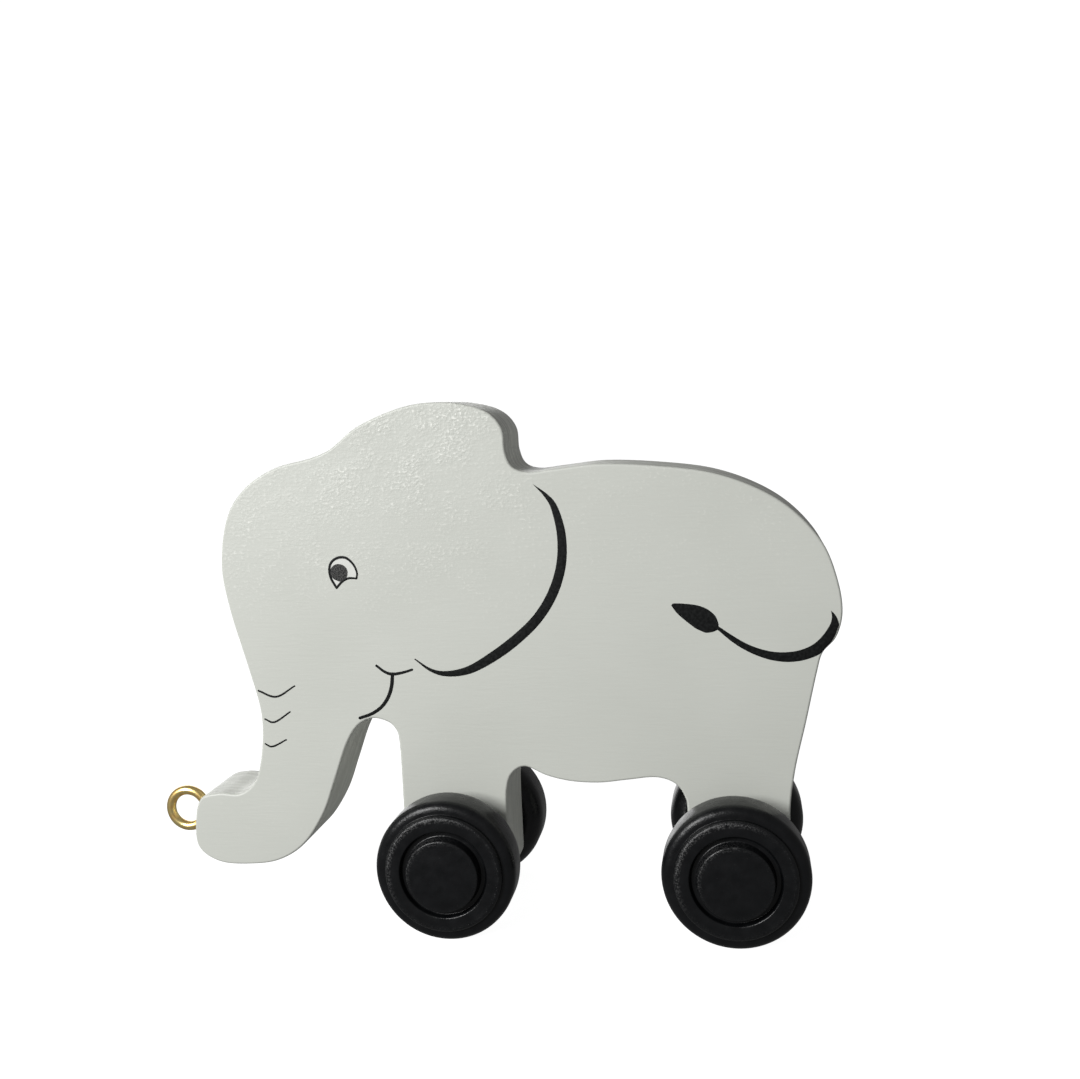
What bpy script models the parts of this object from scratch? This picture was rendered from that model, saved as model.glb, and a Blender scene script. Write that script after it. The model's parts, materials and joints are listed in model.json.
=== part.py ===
"""Pull-along elephant: a flat wooden board sawn to an elephant's outline, on two wheelsets.

Eight pieces: the board, two dowel axles, four turned wheels and a brass screw eye in the trunk.
The toy faces -X, its width runs along Y, +Z is up and the wheels stand on Z = 0.
Lengths are written in millimetres and turned into metres by MM.
"""

import math

import bmesh
import bpy
from mathutils import Vector

MM = 0.001

# The board. Outline points are (distance behind the rear axle, height above the ground).
BOARD_THICKNESS = 20.0
EDGE_ROUND = 0.6
EDGE_ROUND_RESOLUTION = 1
STEPS_PER_SPAN = 4
SHARP_ANGLE = math.radians(35)
# Points closer than this are welded into one.
WELD_DISTANCE = 0.01

BROW_AND_FOREHEAD = [
    (-62.0, 130.1), (-70.0, 131.1), (-79.0, 130.1), (-90.0, 126.0), (-97.4, 120.7), (-103.2, 118.5),
    (-112.4, 116.4), (-120.5, 111.8), (-126.1, 104.3), (-128.5, 92.0), (-127.0, 80.0),
]
TRUNK_FRONT = [(-123.2, 65.0), (-120.7, 53.5), (-121.1, 44.0), (-123.4, 35.5), (-128.0, 31.6), (-134.0, 31.6)]
TRUNK_TIP = [(-139.4, 29.9), (-141.3, 23.0), (-140.7, 16.6), (-135.2, 12.9), (-127.0, 12.4), (-118.6, 13.7)]
TRUNK_BACK = [(-111.2, 18.3), (-105.3, 26.7), (-101.5, 36.0), (-98.0, 44.9), (-94.8, 49.8)]
CHIN = [(-91.0, 51.8), (-87.3, 51.2), (-84.9, 49.3), (-83.9, 45.0)]
BELLY = [
    (-56.4, 34.1), (-55.0, 37.7), (-51.6, 39.5), (-46.2, 37.2), (-40.1, 35.8), (-33.0, 35.5), (-26.0, 36.3),
    (-19.0, 37.0), (-14.4, 35.5), (-12.1, 32.2),
]
RUMP = [(14.6, 39.0), (17.4, 51.0), (20.1, 63.0), (21.6, 68.0), (24.8, 71.8), (26.3, 77.7), (25.3, 85.4)]
BACK = [
    (22.1, 94.1), (15.5, 102.0), (7.1, 107.6), (-3.5, 111.6), (-16.0, 113.6), (-30.0, 114.6), (-40.5, 113.8),
]
EAR_NOTCH = [(-47.4, 113.2), (-51.3, 114.6), (-52.9, 118.3), (-53.4, 123.8), (-56.5, 127.8)]

FOOT_HEIGHT = 8.0
FOOT_CORNER = 4.0
FOOT_CORNER_STEPS = 5
FRONT_LEG = (-83.8, -56.8)
REAR_LEG = (-11.5, 13.2)
LEG_STRAIGHT_TOP = 28.0

# The wheelsets
WHEEL_BASE = 70.0
WHEEL_RADIUS = 17.5
WHEEL_WIDTH = 14.6
WHEEL_GAP = 3.0
OUTER_EDGE = 2.2
INNER_EDGE = 4.5
EDGE_STEPS = 4
RING_RADII = (10.8, 14.6)
RING_SETBACK = 1.3
RING_EDGE = 0.9
RING_EDGE_STEPS = 2
SHOULDER_SETBACK = 2.6
HUB_RADIUS = 8.9
GROOVE_DEPTH = 1.4
SMALL_EDGE = 0.3
WHEEL_SEGMENTS = 48
AXLE_DIAMETER = 6.0
AXLE_CHAMFER = 0.6
AXLE_SEGMENTS = 24
BORE_DIAMETER = 7.0
# The bores' cutters stand out of the board on both sides.
BORE_CUTTER_LENGTH = 30.0
GLUE_GAP = 0.3
WHEEL_SOCKET_DEPTH = 10.0

# The screw eye, in the middle of the board's thickness
EYE_WIRE = 2.5
EYE_RING_RADIUS = 5.05
EYE_HEIGHT = 24.0
EYE_OPENING = math.radians(26)
EYE_NECK_RADIUS = 2.5
EYE_NECK_SINK = 0.5
EYE_STEP = math.radians(11)
EYE_NECK_STEPS = 5
WIRE_RESOLUTION = 3
SHANK_LENGTH = 14.0
THREAD_LENGTH = 10.0
THREAD_PITCH = 1.25
THREAD_DEPTH = 0.35
PILOT_CLEARANCE = 0.3
PILOT_EXTRA_DEPTH = 1.0

TRUNK_TIP_X = min(x for x, _ in TRUNK_TIP)
RUMP_X = max(x for x, _ in RUMP)
EYE_NECK_REACH = math.sqrt(EYE_RING_RADIUS ** 2 + 2 * EYE_RING_RADIUS * EYE_NECK_RADIUS)
EYE_X = TRUNK_TIP_X - EYE_NECK_REACH + EYE_NECK_SINK
FRONT_X = EYE_X - EYE_RING_RADIUS - EYE_WIRE / 2
# Distance from the middle of the toy's length to the rear axle
REAR_AXLE_X = -(FRONT_X + RUMP_X) / 2
FRONT_AXLE_X = REAR_AXLE_X - WHEEL_BASE
WHEEL_INNER_Y = BOARD_THICKNESS / 2 + WHEEL_GAP
AXLE_LENGTH = 2 * (WHEEL_INNER_Y + WHEEL_SOCKET_DEPTH - GLUE_GAP)


def clear_scene():
    for obj in list(bpy.data.objects):
        bpy.data.objects.remove(obj, do_unlink=True)


def new_collection(name):
    collection = bpy.data.collections.new(name)
    bpy.context.scene.collection.children.link(collection)
    return collection


def make_material(name, colour, roughness, metallic=0.0):
    material = bpy.data.materials.new(name)
    material.use_nodes = True
    shader = material.node_tree.nodes["Principled BSDF"]
    shader.inputs["Base Color"].default_value = (*colour, 1.0)
    shader.inputs["Roughness"].default_value = roughness
    shader.inputs["Metallic"].default_value = metallic
    material.diffuse_color = (*colour, 1.0)
    return material


def new_object(name, data, collection, material=None):
    obj = bpy.data.objects.new(name, data)
    collection.objects.link(obj)
    if material:
        obj.data.materials.append(material)
    return obj


def smooth_run(points, before, after):
    """Points along a smooth curve through the given ones, from the first to the last of them."""
    ends = [Vector(before), *map(Vector, points), Vector(after)]
    run = []
    for start in range(1, len(ends) - 2):
        p0, p1, p2, p3 = ends[start - 1:start + 3]
        for step in range(STEPS_PER_SPAN):
            t = step / STEPS_PER_SPAN
            leave = (p2 - p0) / 2
            arrive = (p3 - p1) / 2
            run.append(
                p1 * (2 * t ** 3 - 3 * t ** 2 + 1)
                + leave * (t ** 3 - 2 * t ** 2 + t)
                + p2 * (3 * t ** 2 - 2 * t ** 3)
                + arrive * (t ** 3 - t ** 2)
            )
    return run + [ends[-2]]


def arc(centre, radius, start, end, steps):
    """Points on an arc; the angles are in radians from +X."""
    return [
        Vector((centre[0] + radius * math.cos(angle), centre[1] + radius * math.sin(angle)))
        for angle in (start + (end - start) * step / steps for step in range(steps + 1))
    ]


def foot(leg):
    """The straight lower end of a leg with its flat sole, from its front side round to its back side."""
    front, back = leg
    corner_height = FOOT_HEIGHT + FOOT_CORNER
    front_corner = arc(
        (front + FOOT_CORNER, corner_height), FOOT_CORNER, math.pi, 1.5 * math.pi, FOOT_CORNER_STEPS)
    back_corner = arc(
        (back - FOOT_CORNER, corner_height), FOOT_CORNER, 1.5 * math.pi, 2 * math.pi, FOOT_CORNER_STEPS)
    return front_corner + back_corner


def elephant_outline():
    """The closed outline, counterclockwise seen with the trunk on the left: head, trunk, belly, back."""
    front_leg_top = [(FRONT_LEG[0], LEG_STRAIGHT_TOP), (FRONT_LEG[1], LEG_STRAIGHT_TOP)]
    rear_leg_top = [(REAR_LEG[0], LEG_STRAIGHT_TOP), (REAR_LEG[1], LEG_STRAIGHT_TOP)]
    head = BROW_AND_FOREHEAD + TRUNK_FRONT + TRUNK_TIP + TRUNK_BACK + CHIN + front_leg_top[:1]
    belly = front_leg_top[1:] + BELLY + rear_leg_top[:1]
    back = rear_leg_top[1:] + RUMP + BACK + EAR_NOTCH + BROW_AND_FOREHEAD[:1]
    corner_height = FOOT_HEIGHT + FOOT_CORNER
    return (
        smooth_run(head, EAR_NOTCH[-1], (FRONT_LEG[0], corner_height))
        + foot(FRONT_LEG)
        + smooth_run(belly, (FRONT_LEG[1], corner_height), (REAR_LEG[0], corner_height))
        + foot(REAR_LEG)
        + smooth_run(back, (REAR_LEG[1], corner_height), BROW_AND_FOREHEAD[1])[:-1]
    )


def mesh_from_curve(curve_object):
    """A welded mesh of an evaluated curve object, in the curve object's own axes."""
    depsgraph = bpy.context.evaluated_depsgraph_get()
    mesh = bpy.data.meshes.new_from_object(curve_object.evaluated_get(depsgraph))
    shape = bmesh.new()
    shape.from_mesh(mesh)
    bmesh.ops.remove_doubles(shape, verts=shape.verts, dist=WELD_DISTANCE * MM)
    bmesh.ops.recalc_face_normals(shape, faces=shape.faces)
    shape.to_mesh(mesh)
    shape.free()
    return mesh


def cylinder_cutter(name, diameter, length, segments, location, rotation, cutters):
    mesh = bpy.data.meshes.new(name)
    shape = bmesh.new()
    bmesh.ops.create_cone(
        shape, cap_ends=True, segments=segments, radius1=diameter / 2 * MM, radius2=diameter / 2 * MM,
        depth=length * MM)
    shape.to_mesh(mesh)
    shape.free()
    cutter = new_object(name, mesh, cutters)
    cutter.location = Vector(location) * MM
    cutter.rotation_euler = rotation
    cutter.hide_render = True
    cutter.display_type = "WIRE"
    return cutter


def cut(obj, cutter):
    modifier = obj.modifiers.new(cutter.name, "BOOLEAN")
    modifier.operation = "DIFFERENCE"
    modifier.solver = "EXACT"
    modifier.object = cutter


def make_body(toy, cutters, paint):
    """The sawn board with rounded edges, a bore through each leg and a pilot hole in the trunk tip."""
    curve = bpy.data.curves.new("board_outline", "CURVE")
    curve.dimensions = "2D"
    curve.fill_mode = "BOTH"
    curve.extrude = (BOARD_THICKNESS / 2 - EDGE_ROUND) * MM
    curve.bevel_depth = EDGE_ROUND * MM
    curve.bevel_resolution = EDGE_ROUND_RESOLUTION
    curve.offset = -EDGE_ROUND * MM
    points = elephant_outline()
    spline = curve.splines.new("POLY")
    spline.points.add(len(points) - 1)
    spline.use_cyclic_u = True
    for target, point in zip(spline.points, points):
        target.co = (point.x * MM, point.y * MM, 0.0, 1.0)
    guide = new_object("board_outline", curve, toy)
    mesh = mesh_from_curve(guide)
    bpy.data.objects.remove(guide, do_unlink=True)
    body = new_object("elephant_body", mesh, toy, paint)
    body.location = (REAR_AXLE_X * MM, 0.0, 0.0)
    body.rotation_euler = (math.pi / 2, 0.0, 0.0)
    mesh.shade_smooth()
    mesh.set_sharp_from_angle(angle=SHARP_ANGLE)
    across = (math.pi / 2, 0.0, 0.0)
    for name, axle_x in (("front", FRONT_AXLE_X), ("rear", REAR_AXLE_X)):
        cut(body, cylinder_cutter(
            f"{name}_axle_bore", BORE_DIAMETER, BORE_CUTTER_LENGTH, AXLE_SEGMENTS,
            (axle_x, 0.0, WHEEL_RADIUS), across, cutters))
    depth = SHANK_LENGTH + PILOT_EXTRA_DEPTH
    tip = REAR_AXLE_X + TRUNK_TIP_X
    cut(body, cylinder_cutter(
        "pilot_hole", EYE_WIRE + 2 * PILOT_CLEARANCE, 2 * depth, AXLE_SEGMENTS,
        (tip, 0.0, EYE_HEIGHT), (0.0, math.pi / 2, 0.0), cutters))


def half_section(name, profile):
    """The edge loop of a turned piece's half section; it runs down the outer side from the top."""
    mesh = bpy.data.meshes.new(name)
    shape = bmesh.new()
    corners = [shape.verts.new((radius * MM, 0.0, height * MM)) for radius, height in profile]
    for start, end in zip(corners, corners[1:]):
        shape.edges.new((start, end))
    shape.to_mesh(mesh)
    shape.free()
    return mesh


def turn(obj, segments):
    """Sweep the half section round the object's Z axis."""
    modifier = obj.modifiers.new("turned", "SCREW")
    modifier.steps = segments
    modifier.render_steps = segments
    modifier.use_merge_vertices = True
    modifier.merge_threshold = WELD_DISTANCE * MM
    modifier.use_smooth_shade = True


def wheel_profile():
    """Half section of a wheel: (radius, height above its inner face), from the hub centre outwards.

    The outer side has a hub disc, a groove round it, a raised ring and a rounded shoulder; the inner
    side has a wider rounding and is flat round the blind socket for the axle.
    """
    ring_height = WHEEL_WIDTH - RING_SETBACK
    shoulder_height = WHEEL_WIDTH - SHOULDER_SETBACK
    groove_height = ring_height - GROOVE_DEPTH
    socket_radius = AXLE_DIAMETER / 2 + GLUE_GAP
    inner_ring, outer_ring = RING_RADII
    outer_centre = (WHEEL_RADIUS - OUTER_EDGE, shoulder_height - OUTER_EDGE)
    inner_centre = (WHEEL_RADIUS - INNER_EDGE, INNER_EDGE)
    ring_centre = (outer_ring - RING_EDGE, ring_height - RING_EDGE)
    ring_edge = arc(ring_centre, RING_EDGE, math.pi / 2, 0.0, RING_EDGE_STEPS)
    outer_shoulder = arc(outer_centre, OUTER_EDGE, math.pi / 2, 0.0, EDGE_STEPS)
    inner_shoulder = arc(inner_centre, INNER_EDGE, 0.0, -math.pi / 2, EDGE_STEPS)
    return [
        (0.0, WHEEL_WIDTH),
        (HUB_RADIUS - SMALL_EDGE, WHEEL_WIDTH),
        (HUB_RADIUS, WHEEL_WIDTH - SMALL_EDGE),
        (HUB_RADIUS + SMALL_EDGE, groove_height),
        (inner_ring - SMALL_EDGE, groove_height),
        (inner_ring, ring_height - SMALL_EDGE),
        (inner_ring + SMALL_EDGE, ring_height),
        *[tuple(point) for point in ring_edge],
        (outer_ring, shoulder_height),
        *[tuple(point) for point in outer_shoulder],
        *[tuple(point) for point in inner_shoulder],
        (socket_radius, 0.0),
        (socket_radius, WHEEL_SOCKET_DEPTH),
        (0.0, WHEEL_SOCKET_DEPTH),
    ]


def axle_profile():
    radius = AXLE_DIAMETER / 2
    half = AXLE_LENGTH / 2
    return [
        (0.0, half),
        (radius - AXLE_CHAMFER, half),
        (radius, half - AXLE_CHAMFER),
        (radius, AXLE_CHAMFER - half),
        (radius - AXLE_CHAMFER, -half),
        (0.0, -half),
    ]


def make_wheelset(name, axle_x, toy, wood, black):
    """One dowel with a wheel glued on each end, all turning about the dowel's axis."""
    hub = bpy.data.objects.new(f"{name}_wheelset", None)
    toy.objects.link(hub)
    hub.location = (axle_x * MM, 0.0, WHEEL_RADIUS * MM)
    axle = new_object(f"{name}_axle", half_section(f"{name}_axle", axle_profile()), toy, wood)
    axle.rotation_euler = (math.pi / 2, 0.0, 0.0)
    axle.parent = hub
    turn(axle, AXLE_SEGMENTS)
    # The toy faces -X, so its left side is at -Y.
    for side, sign in (("left", -1), ("right", 1)):
        wheel_name = f"{name}_wheel_{side}"
        wheel = new_object(wheel_name, half_section(wheel_name, wheel_profile()), toy, black)
        wheel.location = (0.0, sign * WHEEL_INNER_Y * MM, 0.0)
        wheel.rotation_euler = (-sign * math.pi / 2, 0.0, 0.0)
        wheel.parent = hub
        turn(wheel, WHEEL_SEGMENTS)


def eye_path():
    """Centre line of the eye's wire: round from its free end, then through the neck into the shank."""
    neck_angle = -math.asin(EYE_NECK_RADIUS / (EYE_RING_RADIUS + EYE_NECK_RADIUS))
    turn_angle = 2 * math.pi + neck_angle - EYE_OPENING
    ring_steps = round(turn_angle / EYE_STEP)
    ring = arc((0.0, 0.0), EYE_RING_RADIUS, EYE_OPENING, 2 * math.pi + neck_angle, ring_steps)
    neck_centre = (EYE_NECK_REACH, -EYE_NECK_RADIUS)
    neck = arc(neck_centre, EYE_NECK_RADIUS, math.pi + neck_angle, math.pi / 2, EYE_NECK_STEPS)
    return ring + neck[1:]


def shank_profile():
    """Half section of the shank: plain, then threaded, then a point; radius and distance from the neck."""
    wire = EYE_WIRE / 2
    root = wire - THREAD_DEPTH
    thread_start = SHANK_LENGTH - THREAD_LENGTH
    turns = int((THREAD_LENGTH - EYE_WIRE) / THREAD_PITCH)
    profile = [(0.0, 0.0), (wire, 0.0), (wire, thread_start)]
    for index in range(turns):
        groove = thread_start + (index + 0.5) * THREAD_PITCH
        profile += [(root, groove), (wire, groove + THREAD_PITCH / 2)]
    return profile + [(root, SHANK_LENGTH - EYE_WIRE), (0.0, SHANK_LENGTH)]


def make_screw_eye(toy, cutters, brass):
    """Brass wire bent into a ring, joined to a threaded shank that goes straight back into the trunk."""
    curve = bpy.data.curves.new("eye_wire", "CURVE")
    curve.dimensions = "3D"
    curve.bevel_depth = EYE_WIRE / 2 * MM
    curve.bevel_resolution = WIRE_RESOLUTION
    curve.use_fill_caps = True
    path = eye_path()
    path.append(path[-1] + Vector((THREAD_PITCH, 0.0)))
    spline = curve.splines.new("POLY")
    spline.points.add(len(path) - 1)
    for target, point in zip(spline.points, path):
        target.co = (point.x * MM, 0.0, point.y * MM, 1.0)
    guide = new_object("eye_wire", curve, toy)
    mesh = mesh_from_curve(guide)
    bpy.data.objects.remove(guide, do_unlink=True)
    eye = new_object("screw_eye", mesh, toy, brass)
    eye.location = ((REAR_AXLE_X + EYE_X) * MM, 0.0, EYE_HEIGHT * MM)
    mesh.shade_smooth()
    shank = new_object("eye_shank", half_section("eye_shank", shank_profile()[::-1]), cutters)
    turn(shank, AXLE_SEGMENTS)
    shank.location = ((REAR_AXLE_X + TRUNK_TIP_X) * MM, 0.0, EYE_HEIGHT * MM)
    shank.rotation_euler = (0.0, math.pi / 2, 0.0)
    shank.hide_render = True
    shank.display_type = "WIRE"
    join = eye.modifiers.new("shank", "BOOLEAN")
    join.operation = "UNION"
    join.solver = "EXACT"
    join.object = shank


def main():
    clear_scene()
    toy = new_collection("pull_along_elephant")
    cutters = new_collection("cutters")
    grey_paint = make_material("grey_paint", (0.60, 0.62, 0.57), 0.5)
    black_paint = make_material("black_paint", (0.012, 0.012, 0.013), 0.35)
    beech = make_material("beech", (0.52, 0.34, 0.18), 0.6)
    brass = make_material("brass", (0.80, 0.56, 0.20), 0.25, metallic=1.0)
    make_body(toy, cutters, grey_paint)
    make_wheelset("front", FRONT_AXLE_X, toy, beech, black_paint)
    make_wheelset("rear", REAR_AXLE_X, toy, beech, black_paint)
    make_screw_eye(toy, cutters, brass)


main()
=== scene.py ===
# Pull-along elephant: a grey painted board with drawn lines on both faces, four black turned wheels
# on two beech dowels, and a brass screw eye. Shapes are in millimetres. An outline point is (distance
# behind the rear axle, height above the ground), the same as in the CAD model.

import json
import math

import bmesh
import bpy
import numpy as np
from mathutils import Matrix, Vector


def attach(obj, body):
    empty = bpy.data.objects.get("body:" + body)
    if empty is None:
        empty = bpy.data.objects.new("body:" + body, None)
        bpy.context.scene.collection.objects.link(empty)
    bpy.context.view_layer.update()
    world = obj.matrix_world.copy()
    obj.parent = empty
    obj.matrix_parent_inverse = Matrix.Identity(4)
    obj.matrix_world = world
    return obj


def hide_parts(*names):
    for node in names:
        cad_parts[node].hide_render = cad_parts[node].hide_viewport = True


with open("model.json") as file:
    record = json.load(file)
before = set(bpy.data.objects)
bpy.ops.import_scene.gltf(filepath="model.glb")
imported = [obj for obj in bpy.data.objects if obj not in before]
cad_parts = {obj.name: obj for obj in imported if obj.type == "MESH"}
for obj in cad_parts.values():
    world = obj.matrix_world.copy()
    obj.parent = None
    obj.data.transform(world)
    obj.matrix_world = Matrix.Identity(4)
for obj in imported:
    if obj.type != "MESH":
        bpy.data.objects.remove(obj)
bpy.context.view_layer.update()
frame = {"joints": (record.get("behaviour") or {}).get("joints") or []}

MM = 0.001

JOINTS = {joint["name"]: joint["pos_m"] for joint in frame["joints"]}
REAR_AXLE_X = JOINTS["rear_axle_spin"][0] / MM
FRONT_AXLE_X = JOINTS["front_axle_spin"][0] / MM
AXLE_HEIGHT = JOINTS["rear_axle_spin"][2] / MM
# The toy faces -X, so its left side is at -Y.
SIDES = {"left": -1, "right": 1}

# Camera: place in millimetres, turns in degrees, lens for a 36 mm wide sensor
CAMERA_PLACE = (67.44, -290.2, 128.9)
CAMERA_YAW = 9.86
CAMERA_PITCH = 6.46
CAMERA_ROLL = -2.57
CAMERA_LENS = 39.1
SENSOR_WIDTH = 36.0
CLIP_NEAR_AND_FAR = (0.01, 10.0)

# Lights: direction from the toy, distance and width in metres, watts; they look at LIT_HEIGHT over
# the origin, in metres too.
KEY_LIGHT = ((-0.52, -0.76, 0.39), 0.95, 0.42, 9.5)
BACK_LIGHT = ((-0.48, 0.86, 0.10), 1.20, 1.00, 5.0)
LIT_HEIGHT = 0.07
AMBIENT = 0.205
# The floor, in metres, shades and strengths
FLOOR_GREY = 0.30
FLOOR_GLOW = 0.96
FLOOR_RADIUS = 2.5
FLOOR_RIM = 1.5
FLOOR_RIM_STEPS = 24

# Meshes: vertices nearer than this are one, and edges that turn by more than these degrees stay sharp,
# on the wood and on the fine shapes of paint and wire
WELD_DISTANCE = 0.0005
WOOD_SHARP_ANGLE = 40
FINE_SHARP_ANGLE = 50

# The board
BOARD_THICKNESS = 20.0
EDGE_ROUND = 0.6
EDGE_ROUND_STEPS = 5
STEPS_PER_SPAN = 8
BORE_DIAMETER = 7.0
BROW_AND_FOREHEAD = [
    (-62.0, 130.1), (-70.0, 131.1), (-79.0, 130.1), (-90.0, 126.0), (-97.4, 120.7), (-103.2, 118.5),
    (-112.4, 116.4), (-120.5, 111.8), (-126.1, 104.3), (-128.5, 92.0), (-127.0, 80.0),
]
TRUNK_FRONT = [(-123.2, 65.0), (-120.7, 53.5), (-121.1, 44.0), (-123.4, 35.5), (-128.0, 31.6), (-134.0, 31.6)]
TRUNK_TIP = [(-139.4, 29.9), (-141.3, 23.0), (-140.7, 16.6), (-135.2, 12.9), (-127.0, 12.4), (-118.6, 13.7)]
TRUNK_BACK = [(-111.2, 18.3), (-105.3, 26.7), (-101.5, 36.0), (-98.0, 44.9), (-94.8, 49.8)]
CHIN = [(-91.0, 51.8), (-87.3, 51.2), (-84.9, 49.3), (-83.9, 45.0)]
BELLY = [
    (-56.4, 34.1), (-55.0, 37.7), (-51.6, 39.5), (-46.2, 37.2), (-40.1, 35.8), (-33.0, 35.5), (-26.0, 36.3),
    (-19.0, 37.0), (-14.4, 35.5), (-12.1, 32.2),
]
RUMP = [(14.6, 39.0), (17.4, 51.0), (20.1, 63.0), (21.6, 68.0), (24.8, 71.8), (26.3, 77.7), (25.3, 85.4)]
BACK = [
    (22.1, 94.1), (15.5, 102.0), (7.1, 107.6), (-3.5, 111.6), (-16.0, 113.6), (-30.0, 114.6), (-40.5, 113.8),
]
EAR_NOTCH = [(-47.4, 113.2), (-51.3, 114.6), (-52.9, 118.3), (-53.4, 123.8), (-56.5, 127.8)]
FOOT_HEIGHT = 8.0
FOOT_CORNER = 4.0
FOOT_CORNER_STEPS = 8
FRONT_LEG = (-83.8, -56.8)
REAR_LEG = (-11.5, 13.2)
LEG_STRAIGHT_TOP = 28.0

# Drawn lines: (distance behind the rear axle, height, width of the stroke)
EAR = [
    (-46.4, 110.3, 0.0), (-43.2, 107.3, 1.0), (-41.3, 104.2, 1.7), (-39.9, 97.6, 2.2), (-40.3, 90.3, 2.4),
    (-42.7, 83.3, 2.5), (-46.8, 77.1, 2.5), (-52.4, 71.9, 2.6), (-58.5, 67.6, 2.5), (-64.8, 64.3, 2.0),
    (-70.5, 63.4, 1.4), (-74.6, 64.4, 0.8), (-78.5, 67.2, 0.3),
]
CHEEK = [(-88.7, 65.6, 0.6), (-86.6, 64.0, 0.7), (-84.6, 63.4, 0.8), (-81.8, 63.8, 0.7), (-79.4, 64.5, 0.6)]
SMILE = [
    (-84.6, 63.4, 0.9), (-85.0, 60.4, 0.95), (-86.0, 57.6, 0.95), (-87.8, 55.1, 0.9), (-90.5, 53.2, 0.85),
    (-93.9, 52.0, 0.8),
]
TRUNK_WRINKLES = [
    [(-120.8, 59.2, 0.5), (-116.1, 57.6, 0.55), (-110.9, 60.4, 0.4)],
    [(-119.6, 51.7, 0.4), (-117.0, 50.9, 0.5), (-112.6, 53.6, 0.4)],
    [(-120.0, 45.1, 0.4), (-118.0, 44.4, 0.5), (-114.2, 46.2, 0.4)],
]
UPPER_LID = [
    (-97.9, 85.7, 0.6), (-99.2, 88.2, 0.65), (-99.5, 90.4, 0.65), (-98.8, 92.3, 0.65), (-96.9, 93.4, 0.7),
    (-94.8, 93.2, 0.65), (-93.0, 91.4, 0.55), (-92.3, 89.4, 0.5), (-92.5, 88.0, 0.5),
]
LOWER_LID = [(-92.5, 88.0, 0.5), (-94.6, 88.1, 0.6), (-96.3, 87.3, 0.65), (-97.9, 85.7, 0.6)]
PUPIL_CENTRE = (-97.0, 89.6)
PUPIL_RADIUS = 2.3
TAIL = [
    (-2.8, 74.2, 0.8), (0.2, 71.8, 1.3), (3.2, 69.8, 1.55), (6.4, 68.3, 1.8), (9.8, 67.3, 2.1),
    (13.4, 67.0, 2.4), (16.9, 67.5, 2.6), (20.2, 68.9, 2.8), (22.8, 71.3, 2.9), (24.3, 74.3, 2.2),
    (24.3, 76.5, 1.1), (23.6, 78.1, 0.0),
]
TUFT_TOP = [
    (-13.9, 79.9), (-13.0, 80.4), (-8.5, 80.0), (-5.7, 79.1), (-3.7, 77.5), (-2.8, 75.6), (-2.7, 73.9),
]
TUFT_BOTTOM = [
    (-13.9, 79.9), (-12.2, 77.6), (-8.6, 74.5), (-6.8, 73.5), (-5.7, 73.1), (-4.1, 73.3), (-2.7, 73.9),
]
# The paint is grittiest at the top of the head, with painted glints and painted shade on the grit where the
# key light's reflection falls, and evens out below the eye and behind the ear.
HEAD_FRONT_X = REAR_AXLE_X - 70.0
HEAD_BACK_X = REAR_AXLE_X - 30.0
CHEEK_HEIGHT = 75.0
HEAD_HEIGHT = 128.0
PAINT_ROWS = 64
PAINT_COLUMNS = 6
STROKE_END_STEPS = 5
# A film of paint: its height over the board in the middle, the share of it left at the borders, and
# how deep its underside sinks in
EYE_WHITE_LIFT = 0.015
PUPIL_LIFT = 0.03
LINE_LIFT = 0.05
BORDER_LIFT = 0.4
PAINT_SINK = 0.1

# The wheelsets
WHEEL_RADIUS = 17.5
WHEEL_WIDTH = 14.6
WHEEL_GAP = 3.0
OUTER_EDGE = 2.2
INNER_EDGE = 4.5
RING_RADII = (10.8, 14.6)
RING_SETBACK = 1.3
RING_EDGE = 0.9
SHOULDER_SETBACK = 2.6
HUB_RADIUS = 8.9
GROOVE_DEPTH = 1.4
GROOVE_TAPER = 0.3
GROOVE_EDGE = 0.4
RING_INNER_EDGE = 0.45
SHOULDER_CORNER = 0.15
SOCKET_DEPTH = 10.0
SOCKET_EDGE = 0.3
CORNER_STEPS = 5
TURNED_SEGMENTS = 128
# Painted highlights lie as pale specks along the hub's and the ring's edges, this far to either side, and
# only on one side of the wheel, where the key light's highlight falls, from this share of its radius on.
EDGE_HIGHLIGHT_BAND = 0.9
HIGHLIGHT_START = 0.2
AXLE_RADIUS = 3.0
AXLE_CHAMFER = 0.6
GLUE_GAP = 0.3
WHEEL_INNER_Y = BOARD_THICKNESS / 2 + WHEEL_GAP
AXLE_HALF_LENGTH = WHEEL_INNER_Y + SOCKET_DEPTH - GLUE_GAP

# The screw eye
EYE_WIRE = 2.5
EYE_RING_RADIUS = 5.05
EYE_HEIGHT = 24.0
EYE_OPENING = math.radians(26)
EYE_NECK_RADIUS = 2.5
EYE_NECK_SINK = 0.5
EYE_STEP = math.radians(4)
EYE_NECK_STEPS = 12
WIRE_SIDES = 32
WIRE_END_ROUND = 0.35
# Where round the wire's rounded free end its rings lie, in radians
WIRE_END_ANGLES = (0.0, 0.4, 0.8, 1.2)
SHANK_LENGTH = 14.0
SHANK_STEPS = 160
SHANK_TIP_RADIUS = 0.05
THREAD_START = 4.0
THREAD_PITCH = 1.25
THREAD_DEPTH = 0.35


# Shapes -----------------------------------------------------------------------------------------

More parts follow.
